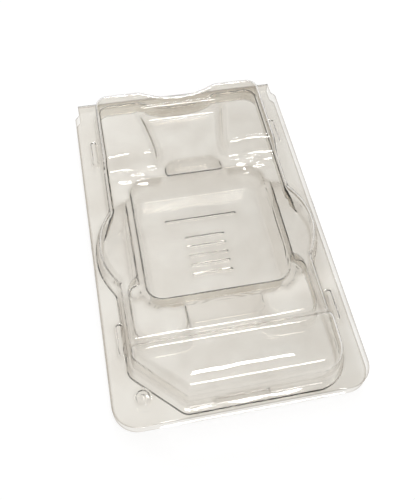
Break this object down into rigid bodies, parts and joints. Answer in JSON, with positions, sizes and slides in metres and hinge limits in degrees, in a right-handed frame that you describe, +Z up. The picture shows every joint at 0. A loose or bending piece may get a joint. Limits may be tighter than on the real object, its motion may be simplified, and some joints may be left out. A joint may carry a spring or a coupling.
{
  "type": "plastic clamshell pack",
  "caption": "Clear vacuum-formed clamshell pack for a processor: hinged lid with raised end blocks and finger bulges over a square pocket.",
  "frame": {"origin": "under the middle of the closed pack, on the face that it rests on", "axes": "+Z up out of the lid, +Y towards the living hinge along the pack's length, +X across it"},
  "size_m": [0.072, 0.117, 0.0154],
  "materials": {
    "clear_sheet": "clear, glossy, thin formed sheet"
  },
  "bodies": {
    "base_tray": {"base_tray": "clear_sheet"},
    "lid": {"lid": "clear_sheet"}
  },
  "joints": [
    {"name": "lid_hinge", "type": "hinge", "parent": "base_tray", "child": "lid", "pos_m": [0, 0.0576, 0.0075], "axis": [-1, 0, 0], "range_deg": [0, 180]}
  ]
}
